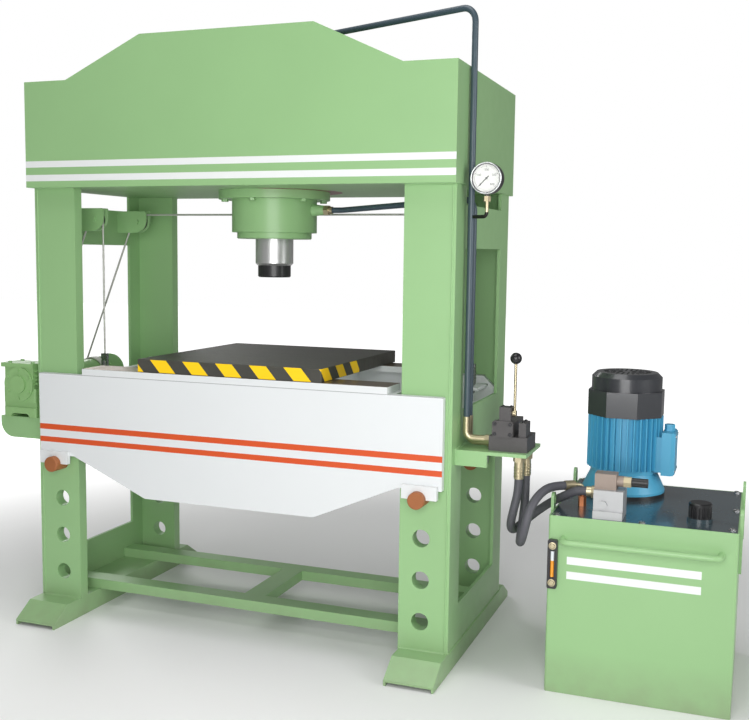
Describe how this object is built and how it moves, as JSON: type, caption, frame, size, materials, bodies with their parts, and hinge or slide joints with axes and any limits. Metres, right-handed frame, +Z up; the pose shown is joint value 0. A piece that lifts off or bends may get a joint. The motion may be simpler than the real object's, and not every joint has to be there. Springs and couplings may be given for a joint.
{
  "type": "hydraulic press",
  "caption": "Four-post frame press: deep head with a central hydraulic ram, liftable table on locking pins, rope winch, hand valve, and a power pack joined by two hoses.",
  "frame": {"origin": "on the floor under the middle of the whole object", "axes": "+Z up, front of the press towards -Y, +X to the right along the press towards its power pack"},
  "size_m": [2.892, 1.08, 2.3101],
  "materials": {
    "frame_green": "gloss",
    "table_white": "gloss",
    "bare_steel": "satin",
    "dark_steel": "satin",
    "pin_steel": "satin",
    "chrome": "polished",
    "zinc": "satin",
    "pipe_slate": "satin",
    "black_steel": "satin",
    "valve_grey": "satin",
    "hose_rubber": "satin",
    "rope_wire": "satin",
    "motor_blue": "satin",
    "cowl_dark": "satin",
    "block_silver": "satin",
    "cover_slate": "satin",
    "relief_brown": "satin",
    "winch_green": "satin",
    "glass": "polished",
    "needle_black": "satin"
  },
  "bodies": {
    "frame": {"uprights": "frame_green", "side_webs": "frame_green", "feet": "frame_green", "base_ties": "frame_green", "head_plates": "frame_green", "head_floor_plate": "frame_green", "head_stiffeners": "frame_green", "cylinder_barrel": "frame_green", "cylinder_gland": "frame_green", "flange_bolts": "dark_steel", "pulley_brackets": "frame_green", "winch_bracket": "frame_green", "winch_gearbox": "winch_green", "winch_ropes": "rope_wire", "oil_pipes": "pipe_slate", "pipe_fittings": "zinc", "gauge_case": "black_steel", "gauge_glass": "glass", "valve_shelf": "frame_green", "manifold": "valve_grey", "valve_body": "valve_grey", "pressure_hose": "hose_rubber", "return_hose": "hose_rubber", "hose_fittings": "zinc", "tank": "frame_green", "tank_cover": "cover_slate", "tank_handles": "frame_green", "level_gauge": "black_steel", "bell_housing": "motor_blue", "motor_body": "motor_blue", "terminal_box": "motor_blue", "motor_cowl": "cowl_dark", "pump_block": "block_silver", "relief_valve": "relief_brown", "rope_drops": "rope_wire"},
    "ram": {"ram": "chrome", "ram_nose": "black_steel"},
    "table": {"table_front_plate": "table_white", "table_rear_plate": "table_white", "table_saddles": "bare_steel", "table_rails": "bare_steel", "table_ribs": "table_white", "rope_clips": "rope_wire", "bolster_plate": "dark_steel"},
    "left_front_pin": {"left_front_pin": "pin_steel"},
    "right_front_pin": {"right_front_pin": "pin_steel"},
    "left_rear_pin": {"left_rear_pin": "pin_steel"},
    "right_rear_pin": {"right_rear_pin": "pin_steel"},
    "hand_lever": {"hand_lever": "zinc"},
    "spool": {"valve_spool": "bare_steel"},
    "needle": {"gauge_needle": "needle_black"},
    "rotor": {"motor_rotor": "bare_steel"},
    "cap": {"filler_cap": "black_steel"},
    "knob": {"relief_knob": "black_steel"},
    "drum": {"winch_drum": "winch_green"},
    "worm": {"winch_input_shaft": "bare_steel"},
    "left_front_pulley": {"left_front_pulley": "dark_steel"},
    "left_rear_pulley": {"left_rear_pulley": "dark_steel"},
    "right_pulley": {"right_pulley": "dark_steel"}
  },
  "joints": [
    {"name": "ram_stroke", "type": "slide", "parent": "frame", "child": "ram", "axis": [0, 0, -1], "range_m": [0, 0.2]},
    {"name": "table_lift", "type": "slide", "parent": "frame", "child": "table", "axis": [0, 0, 1], "range_m": [0, 0.1], "deforming": ["rope_drops"]},
    {"name": "left_front_pin_slide", "type": "slide", "parent": "frame", "child": "left_front_pin", "axis": [0, -1, 0], "range_m": [0, 0.15]},
    {"name": "right_front_pin_slide", "type": "slide", "parent": "frame", "child": "right_front_pin", "axis": [0, -1, 0], "range_m": [0, 0.15]},
    {"name": "left_rear_pin_slide", "type": "slide", "parent": "frame", "child": "left_rear_pin", "axis": [0, 1, 0], "range_m": [0, 0.15]},
    {"name": "right_rear_pin_slide", "type": "slide", "parent": "frame", "child": "right_rear_pin", "axis": [0, 1, 0], "range_m": [0, 0.15]},
    {"name": "lever_swing", "type": "hinge", "parent": "frame", "child": "hand_lever", "pos_m": [0.6898, -0.284, 0.9285], "axis": [1, 0, 0], "range_deg": [-20, 20]},
    {"name": "spool_shift", "type": "slide", "parent": "frame", "child": "spool", "axis": [0, 1, 0], "range_m": [-0.0102, 0.0102]},
    {"name": "needle_sweep", "type": "hinge", "parent": "frame", "child": "needle", "pos_m": [0.58, -0.3185, 1.724], "axis": [0, 1, 0], "range_deg": [0, 270]},
    {"name": "rotor_spin", "type": "hinge", "parent": "frame", "child": "rotor", "pos_m": [1.02, 0.08, 0.8], "axis": [0, 0, 1], "continuous": true},
    {"name": "filler_cap_turn", "type": "hinge", "parent": "frame", "child": "cap", "pos_m": [1.308, -0.245, 0.64], "axis": [0, 0, 1], "range_deg": [0, 90]},
    {"name": "relief_knob_turn", "type": "hinge", "parent": "frame", "child": "knob", "pos_m": [1.097, -0.3, 0.728], "axis": [1, 0, 0], "range_deg": [-180, 180]},
    {"name": "drum_turn", "type": "hinge", "parent": "frame", "child": "drum", "pos_m": [-1.345, 0.02, 0.921], "axis": [0, -1, 0], "range_deg": [0, 90]},
    {"name": "worm_turn", "type": "hinge", "parent": "frame", "child": "worm", "pos_m": [-1.423, -0.2775, 0.871], "axis": [1, 0, 0], "range_deg": [0, 1350]},
    {"name": "left_front_pulley_turn", "type": "hinge", "parent": "frame", "child": "left_front_pulley", "pos_m": [-1.108, -0.133, 1.592], "axis": [0, -1, 0], "range_deg": [0, 186]},
    {"name": "left_rear_pulley_turn", "type": "hinge", "parent": "frame", "child": "left_rear_pulley", "pos_m": [-1.108, 0.178, 1.592], "axis": [0, -1, 0], "range_deg": [0, 186]},
    {"name": "right_pulley_turn", "type": "hinge", "parent": "frame", "child": "right_pulley", "pos_m": [0.382, 0.178, 1.592], "axis": [0, -1, 0], "range_deg": [0, 186]}
  ],
  "couplings": [
    {"joint": "spool_shift", "follows": "lever_swing", "m_per_rad": 0.029},
    {"joint": "drum_turn", "follows": "table_lift", "rad_per_m": 15.552},
    {"joint": "worm_turn", "follows": "table_lift", "rad_per_m": 233.28},
    {"joint": "left_front_pulley_turn", "follows": "table_lift", "rad_per_m": 32.258},
    {"joint": "left_rear_pulley_turn", "follows": "table_lift", "rad_per_m": 32.258},
    {"joint": "right_pulley_turn", "follows": "table_lift", "rad_per_m": 32.258}
  ]
}
